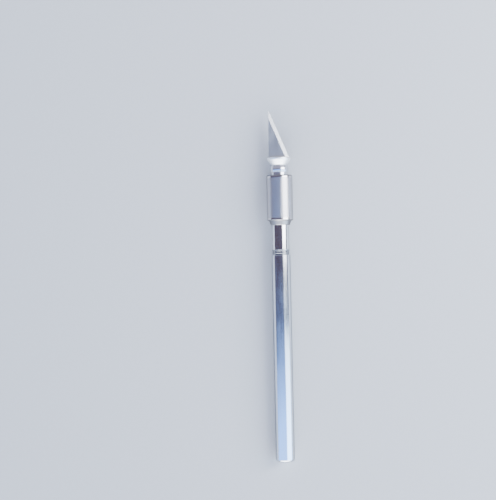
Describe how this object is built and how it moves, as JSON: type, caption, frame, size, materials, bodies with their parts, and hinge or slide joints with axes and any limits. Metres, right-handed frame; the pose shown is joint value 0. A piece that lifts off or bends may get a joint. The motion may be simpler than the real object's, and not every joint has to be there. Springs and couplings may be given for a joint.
{
  "type": "hobby craft knife",
  "caption": "Slim aluminium craft knife: slanted blade in a flared two-jaw collet, closed by a knurled nut, on a plain round barrel.",
  "frame": {"origin": "centre of the flat butt face, on the knife's axis", "axes": "+X along the knife's axis towards the blade's tip; the blade lies in the XY plane with its spine at +Y and its cutting edge at -Y; +Z square to the blade's face"},
  "size_m": [0.151, 0.0112, 0.0112],
  "materials": {
    "blade_steel": "ground sheet steel, satin faces and a brighter ground bevel",
    "collet_aluminium": "bright turned aluminium",
    "collar_aluminium": "bright turned aluminium",
    "nut_aluminium": "fine knurled satin aluminium",
    "neck_aluminium": "polished turned aluminium",
    "ring_aluminium": "turned aluminium, a little duller than the neck",
    "barrel_aluminium": "satin drawn aluminium"
  },
  "bodies": {
    "handle": {"collet_shank": "collet_aluminium", "spindle": "neck_aluminium", "seam_ring": "ring_aluminium", "barrel": "barrel_aluminium", "butt_plug": "barrel_aluminium"},
    "collar": {"thrust_collar": "collar_aluminium"},
    "nut": {"chuck_nut": "nut_aluminium"},
    "jaw_upper": {"collet_jaw_upper": "collet_aluminium"},
    "jaw_lower": {"collet_jaw_lower": "collet_aluminium"},
    "blade": {"blade": "blade_steel"}
  },
  "joints": [
    {"name": "collar_slide", "type": "slide", "parent": "handle", "child": "collar", "axis": [1, 0, 0], "range_m": [-0.002, 0]},
    {"name": "nut_turn", "type": "hinge", "parent": "collar", "child": "nut", "pos_m": [0.1134, 0, 0], "axis": [1, 0, 0], "range_deg": [-720, 0]},
    {"name": "jaw_upper_flex", "type": "hinge", "parent": "handle", "child": "jaw_upper", "pos_m": [0.1125, 0, 0.0025], "axis": [0, -1, 0], "range_deg": [0, 1.2]},
    {"name": "jaw_lower_flex", "type": "hinge", "parent": "handle", "child": "jaw_lower", "pos_m": [0.1125, 0, -0.0025], "axis": [0, 1, 0], "range_deg": [0, 1.2]},
    {"name": "blade_slide", "type": "slide", "parent": "handle", "child": "blade", "axis": [1, 0, 0], "range_m": [0, 0.018]}
  ],
  "couplings": [
    {"joint": "nut_turn", "follows": "collar_slide", "rad_per_m": 6283.2},
    {"joint": "jaw_upper_flex", "follows": "collar_slide", "rad_per_m": -10.472},
    {"joint": "jaw_lower_flex", "follows": "collar_slide", "rad_per_m": -10.472}
  ]
}
